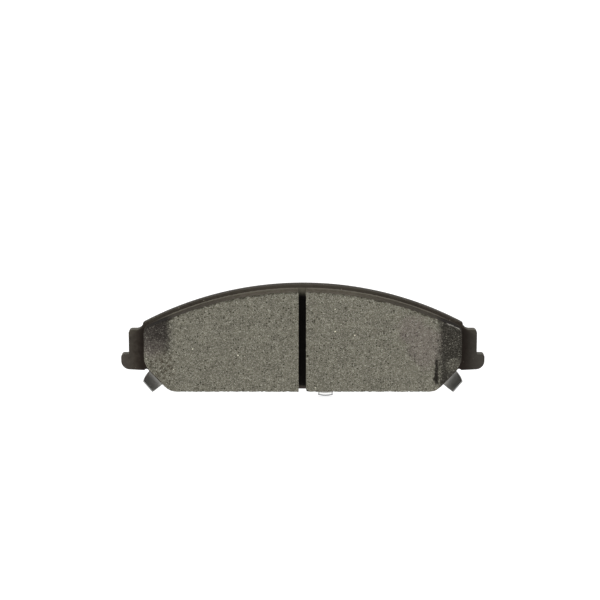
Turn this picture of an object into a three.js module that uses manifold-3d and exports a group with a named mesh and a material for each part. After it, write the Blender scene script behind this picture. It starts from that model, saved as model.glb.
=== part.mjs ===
// Disc brake pad for a sliding caliper, in millimetres.
//
// The pad is drawn lying on its piston side: x runs along the pad, y up through the arch, and z from the
// piston side towards the disc. The exported group is turned so that the part stands arch up (+Z), with
// its friction face to -Y and the face that the piston presses at y = 0.

import * as THREE from "three";
import { mergeVertices } from "three/addons/utils/BufferGeometryUtils.js";
import Module from "manifold-3d";

const wasm = await Module();
wasm.setup();

// ---- Driving dimensions -------------------------------------------------------------------------

// Layers, from the piston side to the disc side.
const OUTER_SHIM = 0.7;
const RUBBER = 0.2;
const INNER_SHIM = 0.4;
const ADHESIVE = 0.15;
const PLATE = 5.5;
const UNDERLAYER = 1.9;
const FRICTION = 8.8;

// The z of each layer's piston side.
const Z_OUTER_SHIM = 0;
const Z_RUBBER = Z_OUTER_SHIM + OUTER_SHIM;
const Z_INNER_SHIM = Z_RUBBER + RUBBER;
const Z_ADHESIVE = Z_INNER_SHIM + INNER_SHIM;
const Z_PLATE = Z_ADHESIVE + ADHESIVE;
const Z_UNDERLAYER = Z_PLATE + PLATE;
const Z_FRICTION = Z_UNDERLAYER + UNDERLAYER;
const Z_FACE = Z_FRICTION + FRICTION;

// Backing plate: an arch over a flat bottom, cut corners, and a stepped ear at each end.
const PLATE_HEIGHT = 56.6;
const PLATE_BOTTOM = -PLATE_HEIGHT / 2;
const ARCH_RADIUS = 180;
const ARCH_CENTRE_Y = PLATE_HEIGHT / 2 - ARCH_RADIUS;
const SHOULDER = { x: 84.6, fillet: 0.9, rootFillet: 3.6 };
const CORNER_START = { x: 72.6, y: PLATE_BOTTOM, fillet: 7 };
const CORNER_END = { x: 82, y: -18.3 };
const EAR = { end: 92.3, top: 3.8, bottom: -17.5, fillet: 1.8 };
const HOOK = { end: 96.5, top: -9.5, fillet: 1.5, rootFillet: 0.6, bottomFillet: 4.6 };
const RELIEF = { x: 83.1, y: -18.8, radius: 1.3 };

// Friction material at its face; it widens by DRAFT towards the plate and the underlayer a little more.
const FACE_BOTTOM = -27.4;
const FACE_END = 83.8;
const FACE_ARCH = 178.1;
const FACE_CORNER_GAP = 2.04;
const FACE_FILLETS = { bottom: 8, end: 9, arch: 4.5 };
const DRAFT = 0.4;
const LEDGE = 0.1;
const SHIM_INSET = 2;
const INNER_LAYERS_INSET = 2.4;

const SLOT = { x: -0.35, width: 3.6 };
const CHAMFER = { start: 69, depth: 3.5 };

// Holes that key the underlayer to the plate, and the pressed bosses that locate the shims.
const ANCHORS = { radius: 5.5, places: [[16, -2], [38, 8], [38, -14]], recess: 0.5, gap: 0.15 };
const BOSSES = { radius: 4, x: 60, y: -6, height: 1.2, holeGap: 0.5, recessGrow: 0.2 };

// The hooks at the outer shim's lower corners.
const CLIP = {
  angle: 40,
  neck: 5,
  root: { below: 4.6, above: 5.6 },
  tip: { below: 3.7, above: 3.9 },
  radius: 7.1,
  sweep: 72,
  steps: 12,
};

// Wear indicator: a strip riveted to the plate's piston side that hooks under the pad and rises to its tip.
const WEAR = {
  x: 12.1,
  width: 7.9,
  thickness: 0.8,
  top: -15.4,
  rivetY: -19.6,
  bottom: -33.1,
  bend: 2.4,
  rise: 25,
  tipY: -29.1,
  crown: 0.55,
  crownFrom: 0.1,
  crownTo: 0.5,
  rows: 10,
  steps: 9,
};
const WEAR_NOTCH = { halfWidth: 5.6, top: -13.6, corner: 2.5 };
const RIVET = { shank: 1.9, head: 3.1, headHeight: 0.5, headTaper: 0.7, sunk: 3, sunkDepth: 1.5, gap: 0.1 };

const FILLET_STEP = 12 * THREE.MathUtils.DEG2RAD;
const ARCH_STEPS = 20;
const CIRCLE_STEPS = 40;
const PAST = 1; // how far a cutter runs past what it cuts
const FAR = 100; // beyond the pad's edge in any direction
const WELD = 1e-4; // vertices closer than this are one

// ---- Solids -------------------------------------------------------------------------------------

// A closed geometry as a solid that manifold-3d can join and cut.
function solid(geometry) {
  const bare = geometry.clone();
  bare.deleteAttribute("normal");
  bare.deleteAttribute("uv");
  const merged = mergeVertices(bare, WELD);
  return new wasm.Manifold(
    new wasm.Mesh({
      numProp: 3,
      vertProperties: merged.attributes.position.array,
      triVerts: new Uint32Array(merged.index.array),
    }),
  );
}

// A solid back as a geometry.
function geometryOf(manifold) {
  const mesh = manifold.getMesh();
  const geometry = new THREE.BufferGeometry();
  geometry.setAttribute("position", new THREE.BufferAttribute(mesh.vertProperties, 3));
  geometry.setIndex(new THREE.BufferAttribute(mesh.triVerts, 1));
  geometry.computeVertexNormals();
  return geometry;
}

// A round bar along z.
function bar(x, y, radius, z0, z1, topRadius = radius) {
  const geometry = new THREE.CylinderGeometry(topRadius, radius, z1 - z0, CIRCLE_STEPS);
  geometry.rotateX(Math.PI / 2).translate(x, y, (z0 + z1) / 2);
  return solid(geometry);
}

function block(x0, x1, y0, y1, z0, z1) {
  const geometry = new THREE.BoxGeometry(x1 - x0, y1 - y0, z1 - z0);
  geometry.translate((x0 + x1) / 2, (y0 + y1) / 2, (z0 + z1) / 2);
  return solid(geometry);
}

// The solid between two outlines with the same number of points, one at z0 and one at z1.
function loft(lower, upper, z0, z1) {
  const n = lower.length;
  const positions = [...lower.map((p) => [p.x, p.y, z0]), ...upper.map((p) => [p.x, p.y, z1])];
  const index = [];
  for (let i = 0; i < n; i++) {
    const j = (i + 1) % n;
    index.push(i, j, n + j, i, n + j, n + i);
  }
  for (const [a, b, c] of THREE.ShapeUtils.triangulateShape(lower, [])) {
    index.push(c, b, a, n + a, n + b, n + c);
  }
  const geometry = new THREE.BufferGeometry();
  geometry.setAttribute("position", new THREE.Float32BufferAttribute(positions.flat(), 3));
  geometry.setIndex(index);
  return solid(geometry);
}

const sheet = (outline, z0, thickness) => loft(outline, outline, z0, z0 + thickness);

// ---- Outlines -----------------------------------------------------------------------------------

// The points of a closed outline whose corners are [x, y, radius], each rounded to its radius.
function rounded(corners) {
  const points = [];
  corners.forEach(([x, y, radius = 0], i) => {
    const corner = new THREE.Vector2(x, y);
    if (!radius) {
      points.push(corner);
      return;
    }
    const before = corners.at(i - 1);
    const after = corners[(i + 1) % corners.length];
    const back = new THREE.Vector2(before[0], before[1]).sub(corner).normalize();
    const on = new THREE.Vector2(after[0], after[1]).sub(corner).normalize();
    const half = Math.acos(THREE.MathUtils.clamp(back.dot(on), -1, 1)) / 2;
    const centre = back.clone().add(on).setLength(radius / Math.sin(half)).add(corner);
    const start = back.clone().multiplyScalar(radius / Math.tan(half)).add(corner).sub(centre);
    const turn = (Math.PI - 2 * half) * Math.sign(on.cross(back));
    const steps = Math.max(2, Math.ceil(Math.abs(turn) / FILLET_STEP));
    for (let k = 0; k <= steps; k++) {
      points.push(start.clone().rotateAround(new THREE.Vector2(), (turn * k) / steps).add(centre));
    }
  });
  return points;
}

// The corners of the arch from x to its crown, which the mirror image then continues.
function archCorners(x, radius) {
  const last = Math.asin(x / radius);
  return Array.from({ length: ARCH_STEPS }, (_, k) => {
    const angle = last * (1 - (k + 1) / ARCH_STEPS);
    return [radius * Math.sin(angle), ARCH_CENTRE_Y + radius * Math.cos(angle)];
  });
}

// A closed outline from the corners of its right half, bottom to crown.
function symmetric(half) {
  const left = half
    .slice(0, -1)
    .reverse()
    .map(([x, y, radius]) => [-x, y, radius]);
  return rounded([...half, ...left]);
}

const archHeight = (x, radius) => ARCH_CENTRE_Y + Math.sqrt(radius ** 2 - x ** 2);

function plateOutline() {
  return symmetric([
    [CORNER_START.x, CORNER_START.y, CORNER_START.fillet],
    [CORNER_END.x, CORNER_END.y],
    [HOOK.end, EAR.bottom, HOOK.bottomFillet],
    [HOOK.end, HOOK.top, HOOK.fillet],
    [EAR.end, HOOK.top, HOOK.rootFillet],
    [EAR.end, EAR.top, EAR.fillet],
    [SHOULDER.x, EAR.top, SHOULDER.rootFillet],
    [SHOULDER.x, archHeight(SHOULDER.x, ARCH_RADIUS), SHOULDER.fillet],
    ...archCorners(SHOULDER.x, ARCH_RADIUS),
  ]);
}

// The pad's body without its ears, grown by so much all round from the friction face's outline.
function bodyOutline(grow) {
  const run = new THREE.Vector2(CORNER_END.x - CORNER_START.x, CORNER_END.y - CORNER_START.y);
  const normal = new THREE.Vector2(run.y, -run.x).normalize();
  const corner = normal.dot(new THREE.Vector2(CORNER_END.x, CORNER_END.y)) - FACE_CORNER_GAP + grow;
  const bottom = FACE_BOTTOM - grow;
  const end = FACE_END + grow;
  const arch = FACE_ARCH + grow;
  return symmetric([
    [(corner - normal.y * bottom) / normal.x, bottom, FACE_FILLETS.bottom + grow],
    [end, (corner - normal.x * end) / normal.y, FACE_FILLETS.end + grow],
    [end, archHeight(end, arch), FACE_FILLETS.arch + grow / 2],
    ...archCorners(end, arch),
  ]);
}

// ---- Pieces -------------------------------------------------------------------------------------

const mirrored = (places) => places.flatMap(([x, y]) => [[x, y], [-x, y]]);
const anchorPlaces = mirrored(ANCHORS.places);
const bossPlaces = mirrored([[BOSSES.x, BOSSES.y]]);

function backingPlate() {
  const [low, high] = [Z_PLATE - PAST, Z_UNDERLAYER + PAST];
  let made = sheet(plateOutline(), Z_PLATE, PLATE);
  for (const side of [-1, 1]) {
    made = made.subtract(bar(side * RELIEF.x, RELIEF.y, RELIEF.radius, low, high));
  }
  for (const [x, y] of anchorPlaces) {
    made = made.subtract(bar(x, y, ANCHORS.radius, low, high));
  }
  for (const [x, y] of bossPlaces) {
    made = made.add(bar(x, y, BOSSES.radius, Z_PLATE - BOSSES.height, Z_PLATE + PAST));
    const recess = BOSSES.radius + BOSSES.recessGrow;
    made = made.subtract(bar(x, y, recess, Z_UNDERLAYER - BOSSES.height, high));
  }
  const sunkZ = Z_UNDERLAYER - RIVET.sunkDepth;
  made = made.subtract(bar(WEAR.x, WEAR.rivetY, RIVET.shank + RIVET.gap, low, high));
  return made.subtract(
    bar(WEAR.x, WEAR.rivetY, RIVET.shank + RIVET.gap, sunkZ, Z_UNDERLAYER, RIVET.sunk + RIVET.gap),
  );
}

// Bonds the friction material to the plate and fills the plate's holes.
function underlayer() {
  let made = sheet(bodyOutline(DRAFT + LEDGE), Z_UNDERLAYER, UNDERLAYER);
  const into = Z_UNDERLAYER + PAST;
  for (const [x, y] of anchorPlaces) {
    made = made.add(bar(x, y, ANCHORS.radius - ANCHORS.gap, Z_PLATE + ANCHORS.recess, into));
  }
  for (const [x, y] of bossPlaces) {
    const radius = BOSSES.radius + BOSSES.recessGrow - ANCHORS.gap;
    made = made.add(bar(x, y, radius, Z_UNDERLAYER - BOSSES.height + ANCHORS.gap, into));
  }
  return made;
}

// The friction material on one side of the slot, with its end chamfer.
function frictionSegment(side) {
  const slope = Math.atan2(CHAMFER.depth, FACE_END - CHAMFER.start);
  const cutter = new THREE.BoxGeometry(FAR, FAR, FAR);
  cutter.translate(FAR / 2, 0, FAR / 2).rotateY(slope);
  cutter.translate(CHAMFER.start, 0, Z_FACE);
  if (side < 0) {
    cutter.rotateZ(Math.PI);
  }
  const whole = loft(bodyOutline(DRAFT), bodyOutline(0), Z_FRICTION, Z_FACE);
  const [inner, outer] = [SLOT.x + side * (SLOT.width / 2), side * FAR];
  const half = block(Math.min(inner, outer), Math.max(inner, outer), -FAR, FAR, 0, Z_FACE + PAST);
  return whole.intersect(half).subtract(solid(cutter));
}

// A layer of the shim pack: a sheet with the bosses' holes and the wear indicator's notch.
function shimLayer(inset, z0, thickness) {
  const [low, high] = [z0 - PAST, z0 + thickness + PAST];
  let made = sheet(bodyOutline(-inset), z0, thickness);
  for (const [x, y] of bossPlaces) {
    made = made.subtract(bar(x, y, BOSSES.radius + BOSSES.holeGap, low, high));
  }
  const { halfWidth, top, corner } = WEAR_NOTCH;
  const notch = rounded([
    [WEAR.x - halfWidth, PLATE_BOTTOM],
    [WEAR.x + halfWidth, PLATE_BOTTOM],
    [WEAR.x + halfWidth, top, corner],
    [WEAR.x - halfWidth, top, corner],
  ]);
  return made.subtract(sheet(notch, low, high - low));
}

// A strip of sheet metal bent along a path of {u, z, turn}, where turn is the path's direction above u.
// The strip runs along x = u between the sides that bandAt gives; crownAt bows it across its width.
function strip(path, thickness, bandAt, crownAt, rows) {
  const positions = [];
  path.forEach(({ u, z, turn }, i) => {
    const t = i / (path.length - 1);
    const [low, high] = bandAt(t);
    for (const side of [-0.5, 0.5]) {
      for (let k = 0; k <= rows; k++) {
        const across = (2 * k) / rows - 1;
        const out = side * thickness + crownAt(t) * across ** 2;
        const y = THREE.MathUtils.lerp(low, high, k / rows);
        positions.push([u - out * Math.sin(turn), y, z + out * Math.cos(turn)]);
      }
    }
  });
  const wide = rows + 1;
  const ring = [
    ...Array.from({ length: wide }, (_, k) => k),
    ...Array.from({ length: wide }, (_, k) => 2 * wide - 1 - k),
  ];
  const index = [];
  for (let i = 0; i + 1 < path.length; i++) {
    const [a, b] = [i * 2 * wide, (i + 1) * 2 * wide];
    ring.forEach((from, k) => {
      const to = ring[(k + 1) % ring.length];
      index.push(a + from, b + to, b + from, a + from, a + to, b + to);
    });
  }
  const last = (path.length - 1) * 2 * wide;
  for (let k = 0; k < rows; k++) {
    const [p, q, r, s] = [k, k + 1, wide + k + 1, wide + k];
    index.push(p, r, q, p, s, r);
    index.push(last + p, last + q, last + r, last + p, last + r, last + s);
  }
  const geometry = new THREE.BufferGeometry();
  geometry.setAttribute("position", new THREE.Float32BufferAttribute(positions.flat(), 3));
  geometry.setIndex(index);
  return geometry;
}

// An arc of a strip's path: it starts at u, z in the direction from, and turns to the direction to.
function arcPath(u, z, radius, from, to, steps) {
  return Array.from({ length: steps + 1 }, (_, k) => {
    const turn = from + ((to - from) * k) / steps;
    return {
      u: u + radius * (Math.sin(turn) - Math.sin(from)),
      z: z - radius * (Math.cos(turn) - Math.cos(from)),
      turn,
    };
  });
}

function outerShim() {
  const middle = Z_OUTER_SHIM + OUTER_SHIM / 2;
  const sweep = CLIP.sweep * THREE.MathUtils.DEG2RAD;
  const path = [
    { u: -CLIP.neck, z: middle, turn: 0 },
    ...arcPath(0, middle, CLIP.radius, 0, sweep, CLIP.steps),
  ];
  const below = (t) => THREE.MathUtils.lerp(CLIP.root.below, CLIP.tip.below, t ** 2);
  const above = (t) => THREE.MathUtils.lerp(CLIP.root.above, CLIP.tip.above, t ** 2);
  const edge = { x: (CORNER_START.x + CORNER_END.x) / 2, y: (CORNER_START.y + CORNER_END.y) / 2 };
  let made = shimLayer(SHIM_INSET, Z_OUTER_SHIM, OUTER_SHIM);
  for (const side of [-1, 1]) {
    const down = CLIP.angle * THREE.MathUtils.DEG2RAD;
    const band = (t) => (side > 0 ? [-below(t), above(t)] : [-above(t), below(t)]);
    const clip = strip(path, OUTER_SHIM, band, () => 0, 1);
    clip.rotateZ(side > 0 ? -down : down - Math.PI).translate(side * edge.x, edge.y, 0);
    made = made.add(solid(clip));
  }
  return made;
}

function wearIndicator() {
  const middle = Z_PLATE - WEAR.thickness / 2;
  const bendU = -WEAR.bottom - WEAR.thickness / 2 - WEAR.bend;
  const rise = (90 + WEAR.rise) * THREE.MathUtils.DEG2RAD;
  const bend = arcPath(bendU, middle, WEAR.bend, 0, rise, WEAR.steps);
  const { u, z } = bend.at(-1);
  const tipU = -WEAR.tipY;
  const path = [
    { u: -WEAR.top, z: middle, turn: 0 },
    { u: -PLATE_BOTTOM, z: middle, turn: 0 },
    ...bend,
    { u: tipU, z: z + (tipU - u) * Math.tan(rise), turn: rise },
  ];
  const bowed = (t) => WEAR.crown * THREE.MathUtils.smoothstep(t, WEAR.crownFrom, WEAR.crownTo);
  const band = [-WEAR.width / 2, WEAR.width / 2];
  const made = strip(path, WEAR.thickness, () => band, bowed, WEAR.rows);
  made.rotateZ(-Math.PI / 2).translate(WEAR.x, 0, 0);
  const [low, high] = [Z_PLATE - WEAR.thickness - PAST, Z_PLATE + PAST];
  return solid(made).subtract(bar(WEAR.x, WEAR.rivetY, RIVET.shank + RIVET.gap, low, high));
}

function wearIndicatorRivet() {
  const headZ = Z_PLATE - WEAR.thickness;
  const [x, y] = [WEAR.x, WEAR.rivetY];
  const sunkZ = Z_UNDERLAYER - RIVET.sunkDepth;
  const head = bar(x, y, RIVET.head - RIVET.headTaper, headZ - RIVET.headHeight, headZ, RIVET.head);
  const shank = bar(x, y, RIVET.shank, headZ - RIVET.headHeight / 2, Z_UNDERLAYER - PAST);
  const sunk = bar(x, y, RIVET.shank, sunkZ, Z_UNDERLAYER, RIVET.sunk);
  return head.add(shank).add(sunk);
}

// ---- Assembly -----------------------------------------------------------------------------------

const finish = (color, roughness, metalness) =>
  new THREE.MeshStandardMaterial({ color, roughness, metalness });

const paint = finish(0x2f2c29, 0.55, 0.2);
const bond = finish(0x5d5648, 0.95, 0);
const compound = finish(0x77746a, 0.9, 0.05);
const coatedSteel = finish(0x4a4c4f, 0.5, 0.6);
const springSteel = finish(0x9a9c9e, 0.35, 1);
const rubber = finish(0x1b1b1c, 0.8, 0);
const glue = finish(0x8a8468, 0.7, 0);
const zinc = finish(0xb4b4ae, 0.35, 1);

const pieces = [
  ["backing_plate", backingPlate(), paint],
  ["underlayer", underlayer(), bond],
  ["friction_segment_left", frictionSegment(-1), compound],
  ["friction_segment_right", frictionSegment(1), compound],
  ["shim_adhesive", shimLayer(INNER_LAYERS_INSET, Z_ADHESIVE, ADHESIVE), glue],
  ["inner_shim", shimLayer(INNER_LAYERS_INSET, Z_INNER_SHIM, INNER_SHIM), coatedSteel],
  ["shim_rubber_layer", shimLayer(INNER_LAYERS_INSET, Z_RUBBER, RUBBER), rubber],
  ["outer_shim", outerShim(), springSteel],
  ["wear_indicator", wearIndicator(), springSteel],
  ["wear_indicator_rivet", wearIndicatorRivet(), zinc],
];

const pad = new THREE.Group();
for (const [name, manifold, material] of pieces) {
  const mesh = new THREE.Mesh(geometryOf(manifold), material);
  mesh.name = name;
  pad.add(mesh);
}
pad.rotation.x = Math.PI / 2;

export default pad;
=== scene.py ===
import math

import bmesh
import bpy
import numpy as np
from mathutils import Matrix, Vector, noise


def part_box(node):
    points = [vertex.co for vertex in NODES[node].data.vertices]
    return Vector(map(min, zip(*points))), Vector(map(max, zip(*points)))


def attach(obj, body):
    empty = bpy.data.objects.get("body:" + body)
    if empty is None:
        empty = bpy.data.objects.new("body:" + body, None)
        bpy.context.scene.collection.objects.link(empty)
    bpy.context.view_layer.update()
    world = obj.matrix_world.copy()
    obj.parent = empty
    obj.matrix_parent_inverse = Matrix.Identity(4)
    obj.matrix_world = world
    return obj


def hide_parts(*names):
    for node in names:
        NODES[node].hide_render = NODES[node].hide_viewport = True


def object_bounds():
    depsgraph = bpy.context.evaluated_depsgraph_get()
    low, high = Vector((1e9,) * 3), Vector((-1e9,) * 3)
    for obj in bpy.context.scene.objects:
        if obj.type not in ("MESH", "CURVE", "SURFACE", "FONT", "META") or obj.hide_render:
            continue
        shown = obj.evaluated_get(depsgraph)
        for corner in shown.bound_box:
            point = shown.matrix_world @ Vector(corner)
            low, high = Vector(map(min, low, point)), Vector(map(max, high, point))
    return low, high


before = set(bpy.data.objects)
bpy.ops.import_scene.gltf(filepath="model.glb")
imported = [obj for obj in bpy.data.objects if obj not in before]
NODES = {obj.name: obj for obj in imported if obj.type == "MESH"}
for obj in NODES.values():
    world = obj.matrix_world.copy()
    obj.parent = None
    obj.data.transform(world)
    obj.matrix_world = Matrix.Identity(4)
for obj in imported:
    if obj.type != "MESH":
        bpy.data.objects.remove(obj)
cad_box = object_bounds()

# The looks of a disc brake pad. The pad stands arch up: x runs along it, z up through the arch, and its
# friction face looks to -y. Lengths are in metres, and MM turns millimetres into them.

MM = 0.001

# Where things are, from the frame.
FRICTION_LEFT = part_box("friction_segment_left")
FRICTION_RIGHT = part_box("friction_segment_right")
FACE_Y = FRICTION_LEFT[0].y
ROOT_Y = FRICTION_LEFT[1].y
BOTTOM_Z = FRICTION_LEFT[0].z
TOP_Z = FRICTION_LEFT[1].z
SLOT_X = (FRICTION_LEFT[1].x + FRICTION_RIGHT[0].x) / 2
SLOT_HALF = (FRICTION_RIGHT[0].x - FRICTION_LEFT[1].x) / 2
PLATE_FRONT_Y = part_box("backing_plate")[0].y
ARCH_TOP_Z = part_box("backing_plate")[1].z
HOOK_TIP_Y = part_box("outer_shim")[0].y
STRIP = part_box("wear_indicator")
STRIP_X = (STRIP[0].x + STRIP[1].x) / 2
STRIP_WIDTH = STRIP[1].x - STRIP[0].x
STRIP_BOTTOM = STRIP[0].z

# What no box shows: where the end chamfers start and how the plate is arched.
CHAMFER_X = 69 * MM
ARCH_RADIUS = 180 * MM
ARCH_CENTRE_Z = ARCH_TOP_Z - ARCH_RADIUS

# Four of these in mm, as the node graphs take them.
FACE = FACE_Y / MM
BOTTOM = BOTTOM_Z / MM
TOP = TOP_Z / MM
CHAMFER = CHAMFER_X / MM

# How finely the pieces are meshed and how much their edges are rounded.
FRICTION_VOXEL = 0.36 * MM
UNDERLAYER_VOXEL = 0.55 * MM
FLAT_REACH = 0.6 * MM  # what meshing and noise move a flat side by, at most
WELD = 2e-6
FLAT_ANGLE = math.radians(0.6)
PLATE_BEVEL = 0.3 * MM
SHEET_BEVEL = 0.12 * MM
FILM_BEVEL = 0.03 * MM
RIVET_SIDES = 48

# How deep the friction material's surface is worn.
GRAIN_DEPTH = 0.07 * MM
PIT_DEPTH = 0.16 * MM
RIPPLE_DEPTH = 0.25 * MM
RAGGED_DEPTH = 0.65 * MM

# Marks on the friction face, each an oval in mm: x, z, half width, half height, raggedness of its border.
BRUISES = ((57, 6, 8, 8, 5), (65, -3, 9, 12, 5), (-79, 3, 9, 13, 3))
STAIN = (-74, -14, 7, 10, 4)
UNDARKENED = (79.5, -13.5, 4.5, 5, 4)
LIT_CORNER = (79.5, 8, 4, 4, 0)


# ---- Meshes -------------------------------------------------------------------------------------


def link(mesh, name):
    obj = bpy.data.objects.new(name, mesh)
    bpy.context.scene.collection.objects.link(obj)
    return obj


def flattened(points, normals, plane, side):
    """The points, with those of the flat side at y = plane that faces side (-1 or 1) put back on it."""
    flat = (side * normals[:, 1] > 0.7) & (np.abs(points[:, 1] - plane) < FLAT_REACH)
    points[flat, 1] = plane
    return points


def voxel_copy(node, name, voxel):
    """A copy of a CAD node as an even mesh whose faces are about one voxel wide."""
    obj = link(NODES[node].data.copy(), name)
    remesh = obj.modifiers.new("even_faces", "REMESH")
    remesh.mode = "VOXEL"
    remesh.voxel_size = voxel
    remesh.use_smooth_shade = True
    evaluated = obj.evaluated_get(bpy.context.evaluated_depsgraph_get())
    mesh = bpy.data.meshes.new_from_object(evaluated)
    obj.modifiers.clear()
    obj.data = mesh
    return obj


def bevelled_copy(node, name, width, segments=3, sharp=35):
    """A copy of a CAD node with clean faces and its edges over sharp degrees rounded."""
    bm = bmesh.new()
    bm.from_mesh(NODES[node].data)
    bmesh.ops.remove_doubles(bm, verts=bm.verts, dist=WELD)
    bmesh.ops.dissolve_limit(bm, angle_limit=FLAT_ANGLE, verts=bm.verts, edges=bm.edges)
    edges = [e for e in bm.edges if e.calc_face_angle(0) > math.radians(sharp)]
    bmesh.ops.bevel(
        bm,
        geom=edges,
        offset=width,
        segments=segments,
        profile=0.5,
        affect="EDGES",
        clamp_overlap=True,
    )
    mesh = bpy.data.meshes.new(name)
    bm.to_mesh(mesh)
    bm.free()
    mesh.shade_smooth()
    obj = link(mesh, name)
    weighted = obj.modifiers.new("weighted_normals", "WEIGHTED_NORMAL")
    weighted.mode = "FACE_AREA"
    weighted.weight = 60
    return obj


def lathed(name, rings):
    """A smooth piece over rings of points, each ring joined to the next; a ring may be a single point."""
    bm = bmesh.new()
    loops = [[bm.verts.new(point) for point in ring] for ring in rings]
    steps = max(len(loop) for loop in loops)
    for a, b in zip(loops, loops[1:]):
        for k in range(steps):
            n = (k + 1) % steps
            corners = [a[k % len(a)], b[k % len(b)], b[n % len(b)], a[n % len(a)]]
            bm.faces.new(list(dict.fromkeys(corners)))
    mesh = bpy.data.meshes.new(name)
    bm.to_mesh(mesh)
    bm.free()
    mesh.shade_smooth()
    return link(mesh, name)


def turns(steps):
    """The angles of a full turn in so many steps."""
    return [2 * math.pi * k / steps for k in range(steps)]


def read(mesh, what):
    """The mesh's points ("co") or vertex normals ("normal") as rows of an array."""
    values = np.empty(3 * len(mesh.vertices), np.float32)
    if what == "co":
        mesh.vertices.foreach_get("co", values)
    else:
        mesh.vertex_normals.foreach_get("vector", values)
    return values.reshape(-1, 3).astype(float)


def write(mesh, points):
    mesh.vertices.foreach_set("co", points.astype(np.float32).ravel())
    mesh.update()


def store(mesh, name, values):
    """Keeps a number for each point under a name, for the material to read."""
    attribute = mesh.attributes.new(name, "FLOAT", "POINT")
    attribute.data.foreach_set("value", values.astype(np.float32))


def smoothed(mesh, points, rounds):
    """The points after each has moved to the middle of its neighbours, so many times."""
    ends = np.empty(2 * len(mesh.edges), np.int32)
    mesh.edges.foreach_get("vertices", ends)
    a, b = ends.reshape(-1, 2).T
    count = np.bincount(ends, minlength=len(points))
    for _ in range(rounds):
        sums = [
            np.bincount(a, points[b, k], len(points)) + np.bincount(b, points[a, k], len(points))
            for k in range(3)
        ]
        points = np.stack(sums, 1) / count[:, None]
    return points


def perlin(points, size, shift):
    """Smooth noise from -1 to 1 whose lumps are about so large."""
    offset = Vector((shift, 2.3 * shift, -1.7 * shift))
    return np.array([noise.noise(Vector(p) / size + offset) for p in points])


def cells(points, size, shift):
    """For each point, the distance to the nearest random seed and a random number that the seed owns."""
    offset = Vector((shift, -1.3 * shift, 0.7 * shift))
    near, own = [], []
    for p in points:
        distances, places = noise.voronoi(Vector(p) / size + offset)
        near.append(distances[0])
        own.append(noise.cell(places[0] * 37.0))
    return np.array(near) * size, (np.array(own) + 1) / 2


def smoothstep(low, high, values):
    t = np.clip((values - low) / (high - low), 0, 1)
    return t * t * (3 - 2 * t)


def finish_piece(obj, material, node):
    """Gives a piece its material, puts it on the one body, and lets it stand for a CAD node."""
    obj.data.materials.clear()
    obj.data.materials.append(material)
    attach(obj, "root")
    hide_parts(node)


# ---- Procedural materials -----------------------------------------------------------------------


def srgb(*values):
    """A colour given as it appears on a screen, 0 to 255, as the linear one that shaders take."""
    shares = [value / 255 for value in values]
    linear = [v / 12.92 if v <= 0.04045 else ((v + 0.055) / 1.055) ** 2.4 for v in shares]
    return (*linear, 1.0)


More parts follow.
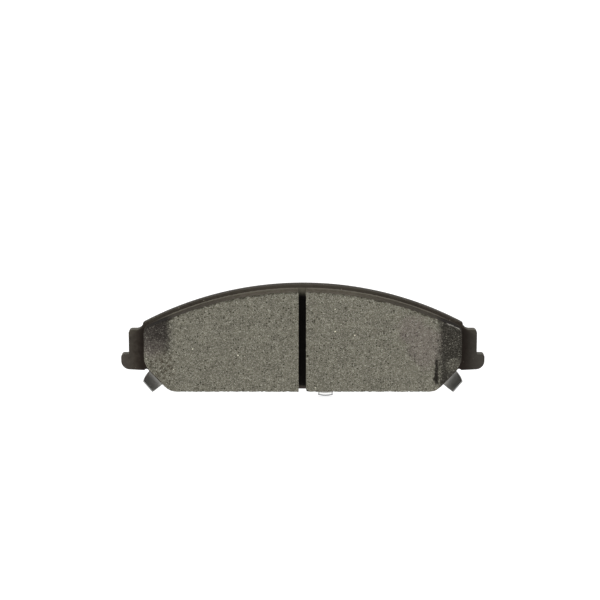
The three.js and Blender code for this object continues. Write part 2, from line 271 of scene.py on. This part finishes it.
class Shader:
    """A principled material whose node graph is built by small calls; lengths in its graph are in mm."""

    def __init__(self, name, **fixed):
        """A new material; fixed holds sockets that are the same all over, with _ for the spaces in a name."""
        self.material = bpy.data.materials.new(name)
        self.material.use_nodes = True
        self.tree = self.material.node_tree
        self.tree.nodes.clear()
        self.surface = self.add("ShaderNodeBsdfPrincipled")
        output = self.add("ShaderNodeOutputMaterial")
        self.tree.links.new(self.surface.outputs[0], output.inputs["Surface"])
        for key, value in fixed.items():
            self.surface.inputs[key.replace("_", " ")].default_value = value
        coordinates = self.add("ShaderNodeTexCoord")
        scale = self.add("ShaderNodeVectorMath", operation="SCALE")
        scale.inputs["Scale"].default_value = 1 / MM
        self.tree.links.new(coordinates.outputs["Object"], scale.inputs[0])
        self.place = scale.outputs[0]
        split = self.add("ShaderNodeSeparateXYZ")
        self.tree.links.new(self.place, split.inputs[0])
        self.x, self.y, self.z = split.outputs
        facing = self.add("ShaderNodeSeparateXYZ")
        self.tree.links.new(coordinates.outputs["Normal"], facing.inputs[0])
        self.normal_z = facing.outputs[2]

    def add(self, kind, **properties):
        node = self.tree.nodes.new(kind)
        for key, value in properties.items():
            setattr(node, key, value)
        return node

    def plug(self, socket, value):
        """Feeds a socket from another one, or sets it to a fixed value."""
        if isinstance(value, bpy.types.NodeSocket):
            self.tree.links.new(value, socket)
        else:
            socket.default_value = value

    def set(self, name, value):
        self.plug(self.surface.inputs[name], value)

    def stretched(self, x, y, z):
        """The place with its axes scaled, for grain that runs one way."""
        node = self.add("ShaderNodeVectorMath", operation="MULTIPLY")
        self.plug(node.inputs[0], self.place)
        node.inputs[1].default_value = (x, y, z)
        return node.outputs[0]

    def noise(self, size, detail=3.0, roughness=0.55, place=None, distortion=0.0):
        """Noise from 0 to 1 whose lumps are about size mm."""
        node = self.add("ShaderNodeTexNoise")
        self.plug(node.inputs["Vector"], place or self.place)
        node.inputs["Scale"].default_value = 1 / size
        node.inputs["Detail"].default_value = detail
        node.inputs["Roughness"].default_value = roughness
        node.inputs["Distortion"].default_value = distortion
        return node.outputs["Fac"]

    def specks(self, size, place=None):
        """(distance from a random seed, a random number of the seed) for grains size mm apart."""
        node = self.add("ShaderNodeTexVoronoi")
        self.plug(node.inputs["Vector"], place or self.place)
        node.inputs["Scale"].default_value = 1 / size
        split = self.add("ShaderNodeSeparateColor")
        self.plug(split.inputs[0], node.outputs["Color"])
        return node.outputs["Distance"], split.outputs[0]

    def step(self, value, low, high):
        """0 below low and 1 above high, or the other way round if low is above high."""
        node = self.add("ShaderNodeMapRange", interpolation_type="SMOOTHSTEP")
        self.plug(node.inputs["Value"], value)
        ends = (low, high, 0.0, 1.0) if low < high else (high, low, 1.0, 0.0)
        for key, end in zip(("From Min", "From Max", "To Min", "To Max"), ends):
            node.inputs[key].default_value = end
        return node.outputs["Result"]

    def between(self, value, low, high):
        """The value from 0 to 1 spread from low to high."""
        node = self.add("ShaderNodeMapRange")
        self.plug(node.inputs["Value"], value)
        node.inputs["To Min"].default_value = low
        node.inputs["To Max"].default_value = high
        return node.outputs["Result"]

    def math(self, operation, a, b=0.5):
        """The operation on a and b; ABSOLUTE and SQRT take only a."""
        node = self.add("ShaderNodeMath", operation=operation)
        self.plug(node.inputs[0], a)
        self.plug(node.inputs[1], b)
        return node.outputs[0]

    def product(self, *values):
        total = values[0]
        for value in values[1:]:
            total = self.math("MULTIPLY", total, value)
        return total

    def mix(self, amount, a, b):
        """Colour a where amount is 0, turning into colour b where it is 1."""
        node = self.add("ShaderNodeMix", data_type="RGBA", blend_type="MIX")
        self.plug(node.inputs["Factor"], amount)
        self.plug(node.inputs["A"], a)
        self.plug(node.inputs["B"], b)
        return node.outputs["Result"]

    def off(self, coordinate, centre):
        """How far the coordinate is from the centre, in mm."""
        return self.math("ABSOLUTE", self.math("SUBTRACT", coordinate, centre / MM))

    def attribute(self, name):
        """A number that store kept on the mesh."""
        return self.add("ShaderNodeAttribute", attribute_name=name).outputs["Fac"]

    def bump(self, height, depth, before=None):
        """Raises the surface by depth mm where height is 1."""
        node = self.add("ShaderNodeBump")
        node.inputs["Strength"].default_value = 1.0
        node.inputs["Distance"].default_value = depth * MM
        self.plug(node.inputs["Height"], height)
        if before:
            self.plug(node.inputs["Normal"], before)
        self.plug(self.surface.inputs["Normal"], node.outputs[0])
        return node.outputs[0]


def length(s, a, b):
    """The length of the vector (a, b)."""
    return s.math("SQRT", s.math("ADD", s.math("MULTIPLY", a, a), s.math("MULTIPLY", b, b)))


def spot(s, x, z, width, height, ragged):
    """1 inside a soft oval patch of the face and 0 outside it; ragged mm of noise spoil its edge."""
    wander = s.between(s.noise(6.0, 3), -ragged, ragged)
    dx = s.math("DIVIDE", s.math("ADD", s.math("SUBTRACT", s.x, x), wander), width)
    dz = s.math("DIVIDE", s.math("ADD", s.math("SUBTRACT", s.z, z), wander), height)
    return s.step(length(s, dx, dz), 1.25, 0.6)


def below_arch(s):
    """How far below the plate's arch a place is, in mm."""
    height = s.math("SUBTRACT", s.z, ARCH_CENTRE_Z / MM)
    return s.math("SUBTRACT", ARCH_RADIUS / MM, length(s, s.x, height))


def friction_material():
    """Pressed compound: an olive-grey granular binder with dark pores, pale fibres and rare metal grains."""
    s = Shader("friction_compound", Specular_IOR_Level=0.12)
    granular = s.math("ADD", s.product(s.noise(0.95, 2, 0.6), 0.3), s.product(s.noise(0.42, 2, 0.6), 0.7))
    pore = pore_mask(s)
    metal = metal_mask(s)
    color = compound_color(s, granular, pore, metal)
    color = face_marks(s, color)
    color = s.mix(s.attribute("skin"), color, moulded_side(s))
    color = rubbed_and_shaded_edges(s, color)
    # Painted shade in the pits and chips.
    color = s.mix(s.product(s.attribute("sunk"), 0.85), color, srgb(34, 32, 26))
    # Heat darkening and painted shade on the end chamfers.
    color = s.mix(scorch_and_shade_mask(s, granular), color, s.mix(0.16, srgb(24, 20, 18), color))
    # Painted shade in the crumbled groove beside the right chamfer.
    color = s.mix(s.product(crack_mask(s), 0.8), color, srgb(36, 33, 28))
    lit_corner = s.product(s.attribute("edge"), spot(s, *LIT_CORNER), s.step(s.y, -12.5, -13.5))
    color = s.mix(lit_corner, color, srgb(214, 210, 200))
    s.set("Base Color", s.mix(slot_mask(s, s.attribute("slot_wall"), 2.8), color, srgb(22, 17, 13)))
    s.set("Metallic", s.product(metal, 0.7))
    s.set("Roughness", s.between(s.noise(1.2, 3), 0.75, 0.95))
    grain = s.bump(granular, 0.09)
    s.bump(s.math("SUBTRACT", 1.0, pore), 0.08, grain)
    return s.material


def pore_mask(s):
    """1 in dark pores of irregular outline, in about half of the cells and stronger in some."""
    pore, own = s.specks(1.0, s.stretched(0.8, 1.0, 1.0))
    uneven = s.math("ADD", pore, s.between(s.noise(0.5, 2), -0.2, 0.2))
    return s.product(s.step(uneven, 0.46, 0.2), s.step(own, 0.55, 0.95))


def metal_mask(s):
    """1 in rare bright grains."""
    metal, own = s.specks(3.4)
    return s.product(s.step(metal, 0.12, 0.06), s.step(own, 0.86, 0.96))


def compound_color(s, granular, pore, metal):
    """The binder's olive grey with its clouds, grains, pores, pale fibres and metal."""
    color = s.mix(s.noise(24.0, 2), srgb(102, 100, 88), srgb(112, 109, 97))
    cloud = s.step(s.noise(6.0, 3, 0.6), 0.42, 0.62)
    color = s.mix(s.product(cloud, 0.5), color, srgb(92, 90, 80))
    color = s.mix(s.step(granular, 0.5, 0.31), color, srgb(54, 52, 43))
    color = s.mix(s.step(granular, 0.5, 0.65), color, srgb(166, 163, 150))
    color = s.mix(s.product(pore, 0.95), color, srgb(42, 40, 32))
    fibre, own = s.specks(1.1, s.stretched(0.5, 1.0, 1.0))
    pale = s.product(s.step(fibre, 0.4, 0.15), s.step(own, 0.93, 0.96))
    color = s.mix(s.product(pale, 0.6), color, srgb(168, 165, 152))
    return s.mix(metal, color, srgb(248, 244, 226))


def face_marks(s, color):
    """The colour with the face's mauve bruises and the brown stain at its lower left."""
    mauve = 0.0
    for bruise in BRUISES:
        mauve = s.math("MAXIMUM", mauve, spot(s, *bruise))
    color = s.mix(s.product(mauve, 0.24), color, srgb(106, 90, 94))
    blotches = s.step(s.noise(1.5, 3, 0.6), 0.48, 0.6)
    return s.mix(s.product(spot(s, *STAIN), blotches, 0.75), color, srgb(62, 54, 43))


def moulded_side(s):
    """The colour of the moulded sides: layered, lighter at the root and darker towards the pad's ends."""
    layers = s.noise(0.9, 4, 0.7, s.stretched(0.45, 1.6, 0.9))
    side = s.mix(s.step(layers, 0.35, 0.65), srgb(74, 69, 57), srgb(110, 103, 91))
    root = s.step(s.math("ADD", s.y, s.between(s.noise(4.0, 3), -0.7, 0.7)), -10.6, -9.7)
    side = s.mix(s.product(root, 0.8), side, srgb(116, 111, 98))
    ends = s.step(s.math("ABSOLUTE", s.x), 20, 60)
    return s.mix(s.product(ends, 0.65), side, srgb(52, 46, 40))


def rubbed_and_shaded_edges(s, color):
    """The colour with rubbed edges, and painted shade in dark dashes along the lower one and the one under
    the arch.
    """
    edge = s.attribute("edge")
    color = s.mix(s.product(edge, 0.2), color, srgb(136, 132, 118))
    # Painted shade of the chipped edges, in dashes.
    dashes = s.step(s.noise(1.0, 3, 0.6, s.stretched(0.6, 1.0, 1.0)), 0.46, 0.58)
    low_rim = s.product(edge, s.step(s.z, BOTTOM + 1.0, BOTTOM + 0.4))
    front = s.step(s.y, FACE + 1.2, FACE + 0.6)
    top_rim = s.product(s.step(below_arch(s), 3.2, 2.5), front)
    rims = s.math("MAXIMUM", low_rim, top_rim)
    return s.mix(s.product(dashes, rims, 0.8), color, srgb(50, 48, 38))


def scorch_and_shade_mask(s, granular):
    """How dark the end chamfers are made, partly by heat and partly by painted shade where they face away
    from the light: the left one above a ragged line, nearly all of the right.
    """
    ragged = s.between(s.noise(1.8, 4, 0.7), -4.0, 4.0)
    border = s.math("ADD", s.x, ragged)
    chamfer_left = s.step(border, 1.8 - CHAMFER, -3.2 - CHAMFER)
    low_left = s.step(s.math("ADD", s.z, s.between(s.noise(6.0, 3), -5, 5)), -12, 4)
    chamfer_right = s.step(border, CHAMFER + 0.2, CHAMFER + 5.2)
    # A patch low on the right chamfer is spared from the heat darkening and painted shade.
    spared = s.math("SUBTRACT", 1.0, s.product(spot(s, *UNDARKENED), 0.36))
    fading = s.between(s.step(s.x, -83, -76), 0.86, 1.0)
    left = s.product(chamfer_left, s.between(low_left, 0.1, 1.0), fading)
    right = s.product(chamfer_right, spared)
    speckle = s.step(granular, 0.66, 0.55)
    return s.product(s.math("ADD", left, right), s.between(speckle, 0.5, 1.0))


def crack_mask(s):
    """1 along the crumbled line beside the right chamfer's edge, where painted shade darkens it."""
    wander = s.between(s.noise(1.1, 3, 0.65), -1.5, 1.5)
    line = s.step(s.off(s.math("ADD", s.x, wander), CHAMFER_X + 1.4 * MM), 1.0, 0.5)
    return s.product(line, s.step(s.z, -24.5, -22.5), s.step(s.z, -8.0, -11.0))


def slot_mask(s, wall, reach):
    """1 deep in the slot, where no light comes: on walls up to reach mm from its middle, not at its ends."""
    wander = s.between(s.noise(1.5, 2), -0.6, 0.6)
    z = s.math("ADD", s.z, wander)
    top = s.step(z, TOP - 1.6, TOP - 4.8)
    low = s.step(z, BOTTOM + 0.4, BOTTOM + 2.4)
    return s.product(s.step(s.off(s.x, SLOT_X), reach, reach - 0.7), wall, top, low)


def underlayer_material():
    """Pale compound, darker at the pad's ends, with painted shade in the slot and painted light at the slot's
    open lower end.
    """
    s = Shader("bonding_layer", Specular_IOR_Level=0.25)
    color = s.mix(s.noise(1.6, 4, 0.6), srgb(102, 97, 85), srgb(140, 135, 121))
    color = s.mix(s.step(s.noise(0.7, 2), 0.6, 0.75), color, srgb(78, 72, 62))
    color = s.mix(s.step(s.math("ABSOLUTE", s.x), 66, 80), color, srgb(58, 53, 46))
    # Painted shade in the slot.
    color = s.mix(s.product(s.step(s.off(s.x, SLOT_X), 2.8, 2.0), 0.6), color, srgb(84, 81, 68))
    # Painted light where the slot opens at the lower edge.
    lip = s.step(s.z, BOTTOM + 2.4, BOTTOM + 0.4)
    slot_end = s.product(lip, s.step(s.off(s.x, SLOT_X), 2.8, 2.1))
    color = s.mix(slot_end, color, srgb(72, 64, 62))
    s.set("Base Color", s.mix(slot_mask(s, 1.0, 2.6), color, srgb(20, 16, 13)))
    s.set("Roughness", s.between(s.noise(1.0, 2), 0.8, 1.0))
    s.bump(s.noise(0.6, 4, 0.7), 0.15)
    return s.material


def paint_material():
    """Black-brown powder coat over a stamped plate, with painted shade beside the friction material, painted
    light on the ears' outer ends, along the rim under the arch and on upward faces, and a painted highlight
    on the ears' ledges.
    """
    s = Shader("powder_coat", Specular_IOR_Level=0.06)
    color = s.mix(s.noise(14.0, 3), srgb(57, 51, 45), srgb(67, 62, 55))
    mottle = s.noise(2.4, 4, 0.65)
    color = s.mix(s.step(mottle, 0.5, 0.78), color, srgb(78, 73, 66))
    color = s.mix(s.step(mottle, 0.5, 0.27), color, srgb(48, 43, 38))
    color = s.mix(s.product(s.step(s.x, 82, 88), 0.6), color, srgb(46, 44, 41))
    # Painted light on the ears' outer ends, away from the friction block.
    color = s.mix(s.product(s.step(s.math("ABSOLUTE", s.x), 88, 95), 0.4), color, srgb(78, 75, 70))
    # Painted shade beside the friction block.
    reach = s.math("ADD", s.math("ABSOLUTE", s.x), s.between(s.noise(3.0, 3), -1.5, 1.5))
    beside = s.product(s.step(reach, 90.5, 85.0), s.step(s.y, -4.0, -6.0), s.step(reach, 80.0, 83.0))
    color = s.mix(s.product(beside, 0.8), color, srgb(34, 27, 23))
    # Painted light along the rim under the arch, in the middle.
    rim = s.step(below_arch(s), 2.6, 1.6)
    middle = s.between(s.step(s.math("ABSOLUTE", s.x), 60, 20), 0.3, 0.65)
    color = s.mix(s.product(rim, middle), color, srgb(82, 77, 68))
    # Painted light on upward faces.
    up = s.step(s.normal_z, 0.4, 0.85)
    color = s.mix(s.product(up, 0.35), color, srgb(86, 80, 71))
    # Painted highlight on the ears' upward ledges.
    ledge = s.product(up, s.step(s.math("ABSOLUTE", s.x), 86, 88))
    color = s.mix(s.product(ledge, 0.6), color, srgb(130, 126, 115))
    dust, own = s.specks(2.6)
    fleck = s.product(s.step(dust, 0.14, 0.06), s.step(own, 0.8, 0.84))
    color = s.mix(fleck, color, srgb(150, 142, 130))
    s.set("Base Color", color)
    s.set("Roughness", s.between(s.noise(5.0, 4), 0.62, 0.85))
    peel = s.bump(s.noise(0.9, 2, 0.5), 0.05)
    s.bump(s.noise(4.5, 3), 0.08, peel)
    return s.material


def sheet_steel_material():
    """Phosphated sheet: fine lengthwise grain, dull patches and a few handling scratches."""
    s = Shader("satin_sheet_steel", Metallic=0.8)
    rolled = s.noise(1.0, 4, 0.6, s.stretched(0.03, 1.0, 2.2))
    color = s.mix(rolled, srgb(148, 147, 143), srgb(172, 171, 166))
    stain = s.step(s.noise(17.0, 5, 0.6), 0.5, 0.75)
    color = s.mix(s.product(stain, 0.4), color, srgb(108, 104, 97))
    scratch_noise = s.noise(1.0, 2, 0.5, s.stretched(0.05, 1.0, 1.4), 0.6)
    scratch = s.product(s.step(scratch_noise, 0.7, 0.74), s.step(s.noise(9.0, 2), 0.5, 0.6))
    color = s.mix(scratch, color, srgb(186, 184, 178))
    cut = s.step(s.y, HOOK_TIP_Y / MM + 0.3, HOOK_TIP_Y / MM + 0.16)
    color = s.mix(cut, color, srgb(130, 130, 128))
    s.set("Base Color", color)
    rough = s.between(s.noise(8.0, 4), 0.36, 0.5)
    s.set("Roughness", s.math("SUBTRACT", rough, s.product(scratch, 0.1)))
    grain = s.bump(rolled, 0.02)
    s.bump(s.math("SUBTRACT", 1.0, scratch), 0.02, grain)
    return s.material


def spring_steel_material():
    """Bright strip with a painted highlight whitening its front, and a painted dark reflection greying its
    long edges and lowest bend.
    """
    s = Shader("bright_spring_strip", Metallic=0.45)
    grain = s.noise(0.8, 4, 0.6, s.stretched(2.4, 1.0, 0.06))
    color = s.mix(grain, srgb(168, 167, 162), srgb(196, 195, 190))
    dull = s.step(s.noise(3.0, 4), 0.55, 0.8)
    color = s.mix(s.product(dull, 0.3), color, srgb(180, 178, 172))
    # Painted highlight: the front part is whitened.
    front = s.step(s.y, -2.0, -4.0)
    color = s.mix(front, color, srgb(252, 252, 251))
    # Painted dark reflection on the long edges and the lowest bend.
    off_middle = s.off(s.x, STRIP_X)
    half = STRIP_WIDTH / MM / 2
    sides = s.step(off_middle, half - 1.3, half - 0.3)
    share = s.math("DIVIDE", off_middle, half)
    height = s.math("SUBTRACT", s.z, s.product(share, share, 0.55))
    low = s.product(s.step(height, STRIP_BOTTOM / MM + 1.9, STRIP_BOTTOM / MM + 1.4), front)
    color = s.mix(s.math("MAXIMUM", low, s.product(sides, 0.6)), color, srgb(66, 67, 68))
    s.set("Base Color", color)
    s.set("Roughness", s.between(s.noise(2.0, 3), 0.28, 0.42))
    s.bump(grain, 0.015)
    return s.material


def zinc_material():
    """Plating with a crystalline bloom and yellowed patches."""
    s = Shader("zinc_plating", Metallic=1.0)
    _, crystal = s.specks(0.7)
    color = s.mix(crystal, srgb(172, 172, 164), srgb(204, 204, 196))
    s.set("Base Color", s.mix(s.step(s.noise(1.5, 4), 0.55, 0.8), color, srgb(150, 140, 112)))
    s.set("Roughness", s.between(s.noise(0.9, 3), 0.3, 0.5))
    s.bump(s.noise(0.5, 3), 0.03)
    return s.material


def coated_steel_material():
    """Dark coating, thinner in places."""
    s = Shader("coated_sheet_edge", Metallic=0.6)
    s.set("Base Color", s.mix(s.noise(1.5, 4), srgb(52, 53, 55), srgb(92, 92, 92)))
    s.set("Roughness", s.between(s.noise(1.0, 3), 0.4, 0.6))
    s.bump(s.noise(0.6, 3), 0.03)
    return s.material


def rubber_material():
    """Matt black rubber with a little dust."""
    s = Shader("damping_rubber", Specular_IOR_Level=0.4)
    s.set("Base Color", s.mix(s.noise(1.5, 4), srgb(22, 22, 23), srgb(40, 39, 38)))
    s.set("Roughness", s.between(s.noise(1.0, 3), 0.6, 0.85))
    s.bump(s.noise(0.5, 3), 0.04)
    return s.material


def adhesive_material():
    """Yellowed film."""
    s = Shader("adhesive_film", Specular_IOR_Level=0.5)
    s.set("Base Color", s.mix(s.noise(2.5, 4), srgb(112, 104, 76), srgb(152, 144, 112)))
    s.set("Roughness", s.between(s.noise(1.2, 3), 0.45, 0.7))
    s.bump(s.noise(0.8, 3), 0.05)
    return s.material


# ---- Pieces -------------------------------------------------------------------------------------


def chip_places(side):
    """(x, z, radius, depth) of each chip along the slot, the lower edge and the right chamfer's edge."""
    rng = np.random.default_rng(11 if side > 0 else 12)

    def draw(low, high):
        return rng.uniform(low, high) * MM

    places = []
    for z in np.arange(BOTTOM_Z, TOP_Z, 2.2 * MM):
        places.append((SLOT_X + side * SLOT_HALF, z + draw(-1, 1), draw(0.2, 0.5), draw(0.1, 0.3)))
    for x in np.arange(3 * MM, 70 * MM, 2.4 * MM):
        places.append((side * (x + draw(-1, 1)), BOTTOM_Z, draw(0.3, 1.0), draw(0.1, 0.45)))
    if side > 0:
        places.append((SLOT_X + SLOT_HALF + 0.2 * MM, BOTTOM_Z + 0.3 * MM, 1.9 * MM, 1.1 * MM))
        for z in np.arange(BOTTOM_Z + 6 * MM, BOTTOM_Z + 18 * MM, 0.55 * MM):
            x = CHAMFER_X + (1.2 + rng.normal(0, 0.35)) * MM
            places.append((x, z, draw(0.4, 1.1), draw(0.3, 0.9)))
        places.append((CHAMFER_X + 0.9 * MM, BOTTOM_Z + 7.5 * MM, 1.7 * MM, 1.0 * MM))
    return places


def chips(points, side):
    """How far each point sinks for the chips."""
    sink = np.zeros(len(points))
    for x, z, radius, depth in chip_places(side):
        distance = np.hypot(points[:, 0] - x, points[:, 2] - z)
        sink = np.maximum(sink, depth * smoothstep(radius, 0.35 * radius, distance))
    return sink


def crumbled(points, edge, front):
    """How far each point of the front's edge has crumbled, 0 to 1; the slot's edges are spared."""
    patches = smoothstep(-0.05, 0.4, perlin(points, 1.3 * MM, 29.0))
    from_slot = np.abs(points[:, 0] - SLOT_X) - SLOT_HALF
    return patches * edge * front * smoothstep(0.4 * MM, 1.6 * MM, from_slot)


def pits(points):
    """How deep each point lies in a pit, 0 to 1."""
    near, own = cells(points, 1.7 * MM, 5.0)
    return smoothstep(0.55 * MM, 0.15 * MM, near) * (own > 0.82) * (0.35 + 0.65 * own)


def friction_piece(node, side):
    """The compound with worn edges, pores and grain, as a dense mesh that stays inside the CAD solid."""
    obj = voxel_copy(node, node + "_block", FRICTION_VOXEL)
    mesh = obj.data
    points, normals = read(mesh, "co"), read(mesh, "normal")
    face = smoothstep(0.8, 0.93, -normals[:, 1])
    front = points[:, 1] < FACE_Y + 4.2 * MM
    skin = (1 - face) * smoothstep(FACE_Y + 0.2 * MM, FACE_Y + 0.6 * MM, points[:, 1])

    rounding = smoothed(mesh, points, 5) - points
    rounding = rounding * smoothstep(ROOT_Y - 0.3 * MM, ROOT_Y - 1.2 * MM, points[:, 1])[:, None]
    edge = smoothstep(0.08 * MM, 0.22 * MM, np.linalg.norm(rounding, axis=1))
    wear = np.clip(0.45 + 0.9 * perlin(points, 2.2 * MM, 3.0), 0, 1)[:, None]
    worn = points + wear * rounding

    ragged = crumbled(points, edge, front)
    chip = np.maximum(chips(points, side) * np.maximum(face, 0.3) * front, RAGGED_DEPTH * ragged)
    grain = 0.5 + 0.5 * perlin(points, 0.9 * MM, 7.0)
    ripple = 0.5 + 0.5 * perlin(points, 2.4 * MM, 17.0)
    pit = pits(points)
    sink = GRAIN_DEPTH * grain + PIT_DEPTH * pit + chip + RIPPLE_DEPTH * ripple * skin
    write(mesh, flattened(worn - normals * sink[:, None], normals, ROOT_Y, 1))
    # How sunk each point is, for the painted shade in the pits and chips.
    store(mesh, "sunk", np.clip(pit * 0.5 + chip / (0.6 * MM), 0, 1))
    store(mesh, "edge", edge * (1 - ragged))
    store(mesh, "skin", skin)
    store(mesh, "slot_wall", smoothstep(0.6, 0.9, np.abs(normals[:, 0])))
    return obj


def underlayer_piece():
    """The bonding layer with a rough edge and flat sides, between the plate and the friction material."""
    obj = voxel_copy("underlayer", "bonding_underlayer", UNDERLAYER_VOXEL)
    points, normals = read(obj.data, "co"), read(obj.data, "normal")
    sink = 0.22 * MM * (0.5 + 0.5 * perlin(points, 1.5 * MM, 21.0))
    edge = 1 - smoothstep(0.7, 0.9, np.abs(normals[:, 1]))
    points = points - normals * (sink * (0.2 + 0.8 * edge))[:, None]
    points = flattened(points, normals, ROOT_Y, -1)
    write(obj.data, flattened(points, normals, PLATE_FRONT_Y, 1))
    return obj


def rivet_piece():
    """A pan-headed rivet turned from a profile, with a dimple in its head and its shank in the plate."""
    low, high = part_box("wear_indicator_rivet")
    cx, cz = (low.x + high.x) / 2, (low.z + high.z) / 2
    radius = (high.x - low.x) / 2
    head, tail = high.y, low.y
    seat = head - 0.5 * MM
    # Each point of the profile is a share of the head's radius, and y.
    profile = [(0, head - 0.22 * MM), (0.16, head - 0.2 * MM), (0.26, head - 0.03 * MM), (0.5, head)]
    profile += [(0.72, head - 0.05 * MM), (0.9, head - 0.18 * MM), (1.0, seat), (0.61, seat)]
    profile += [(0.61, tail + 1.5 * MM), (0.96, tail), (0, tail)]
    rings = []
    for share, y in profile:
        reach = share * radius
        ring = [(cx + reach * math.cos(t), y, cz - reach * math.sin(t)) for t in turns(RIVET_SIDES)]
        rings.append(ring if share else [(cx, y, cz)])
    return lathed("indicator_rivet", rings)


def build_pad():
    """Every CAD node's piece, each riding on the one body."""
    friction = friction_material()
    for node, side in (("friction_segment_left", -1), ("friction_segment_right", 1)):
        finish_piece(friction_piece(node, side), friction, node)
    finish_piece(underlayer_piece(), underlayer_material(), "underlayer")
    plate = bevelled_copy("backing_plate", "stamped_plate", PLATE_BEVEL)
    finish_piece(plate, paint_material(), "backing_plate")
    shim = bevelled_copy("outer_shim", "hooked_shim", SHEET_BEVEL, 2, 50)
    finish_piece(shim, sheet_steel_material(), "outer_shim")
    strip = bevelled_copy("wear_indicator", "indicator_strip", SHEET_BEVEL, 2, 50)
    finish_piece(strip, spring_steel_material(), "wear_indicator")
    finish_piece(rivet_piece(), zinc_material(), "wear_indicator_rivet")
    layers = (
        ("inner_shim", "inner_shim_sheet", coated_steel_material(), "coated_steel"),
        ("shim_rubber_layer", "damping_layer", rubber_material(), "rubber"),
        ("shim_adhesive", "adhesive_layer", adhesive_material(), "adhesive"),
    )
    for node, name, material, slot in layers:
        finish_piece(bevelled_copy(node, name, FILM_BEVEL, 1), material, node)


# ---- Stage, light and camera --------------------------------------------------------------------

FLOOR_Z = cad_box[0].z
SWEEP_INNER = 0.5
SWEEP_FLAT = 2.2
SWEEP_RADIUS = 0.9
SWEEP_TOP = 2.4
SWEEP_SIDES = 96
SWEEP_STEPS = 12


def floor_material():
    """A pale translucent table, lit from below."""
    s = Shader("pale_light_table", Roughness=0.6, Emission_Color=(1, 1, 1, 1), Emission_Strength=0.86)
    s.set("Base Color", s.mix(s.noise(60.0, 3), (0.34, 0.34, 0.34, 1), (0.36, 0.36, 0.36, 1)))
    return s.material


def sweep():
    """A round floor that curves up into a wall all round the pad and the camera."""
    profile = [(SWEEP_INNER, FLOOR_Z), (SWEEP_FLAT, FLOOR_Z)]
    for k in range(1, SWEEP_STEPS + 1):
        angle = math.pi / 2 * k / SWEEP_STEPS
        height = SWEEP_RADIUS * (1 - math.cos(angle))
        profile.append((SWEEP_FLAT + SWEEP_RADIUS * math.sin(angle), FLOOR_Z + height))
    profile.append((SWEEP_FLAT + SWEEP_RADIUS, SWEEP_TOP))
    rings = [[(0, 0, FLOOR_Z)]]
    for radius, z in profile:
        rings.append([(radius * math.cos(t), radius * math.sin(t), z) for t in turns(SWEEP_SIDES)])
    bowl = lathed("sweep", rings)
    bowl.data.materials.append(floor_material())


def softbox(name, place, size, watts):
    """A square lamp that looks at the pad."""
    light = bpy.data.lights.new(name, "AREA")
    light.shape = "SQUARE"
    light.size = size
    light.energy = watts
    obj = link(light, name)
    obj.location = place
    obj.rotation_euler = (-Vector(place)).to_track_quat("-Z", "Y").to_euler()


def light_stage():
    """Pale light from all round, a soft key from the front left and one from above."""
    world = bpy.data.worlds.new("studio")
    bpy.context.scene.world = world
    world.use_nodes = True
    background = world.node_tree.nodes["Background"]
    background.inputs["Color"].default_value = (1, 1, 1, 1)
    background.inputs["Strength"].default_value = 0.22
    softbox("key", place=(-0.55, -0.95, 0.75), size=0.6, watts=1.9)
    softbox("top", place=(0.1, 0.15, 1.2), size=0.9, watts=2.0)


VIEW_ELEVATION = math.radians(12)
VIEW_DISTANCE = 1.0
PICTURE_WIDTH = 315.9 * MM  # what the picture's width covers at the pad
AIM = Vector((-1.5 * MM, -9 * MM, 20.4 * MM))


def make_camera():
    """The camera faces the friction side from a little above."""
    data = bpy.data.cameras.new("camera")
    data.sensor_width = 36
    data.lens = data.sensor_width * VIEW_DISTANCE / PICTURE_WIDTH
    data.clip_start = 0.05
    data.clip_end = 20
    camera = link(data, "camera")
    back = Vector((0, -math.cos(VIEW_ELEVATION), math.sin(VIEW_ELEVATION)))
    camera.location = AIM + VIEW_DISTANCE * back
    camera.rotation_euler = (-back).to_track_quat("-Z", "Y").to_euler()
    bpy.context.scene.camera = camera


build_pad()
sweep()
light_stage()
make_camera()
bpy.context.scene.view_settings.view_transform = "Standard"
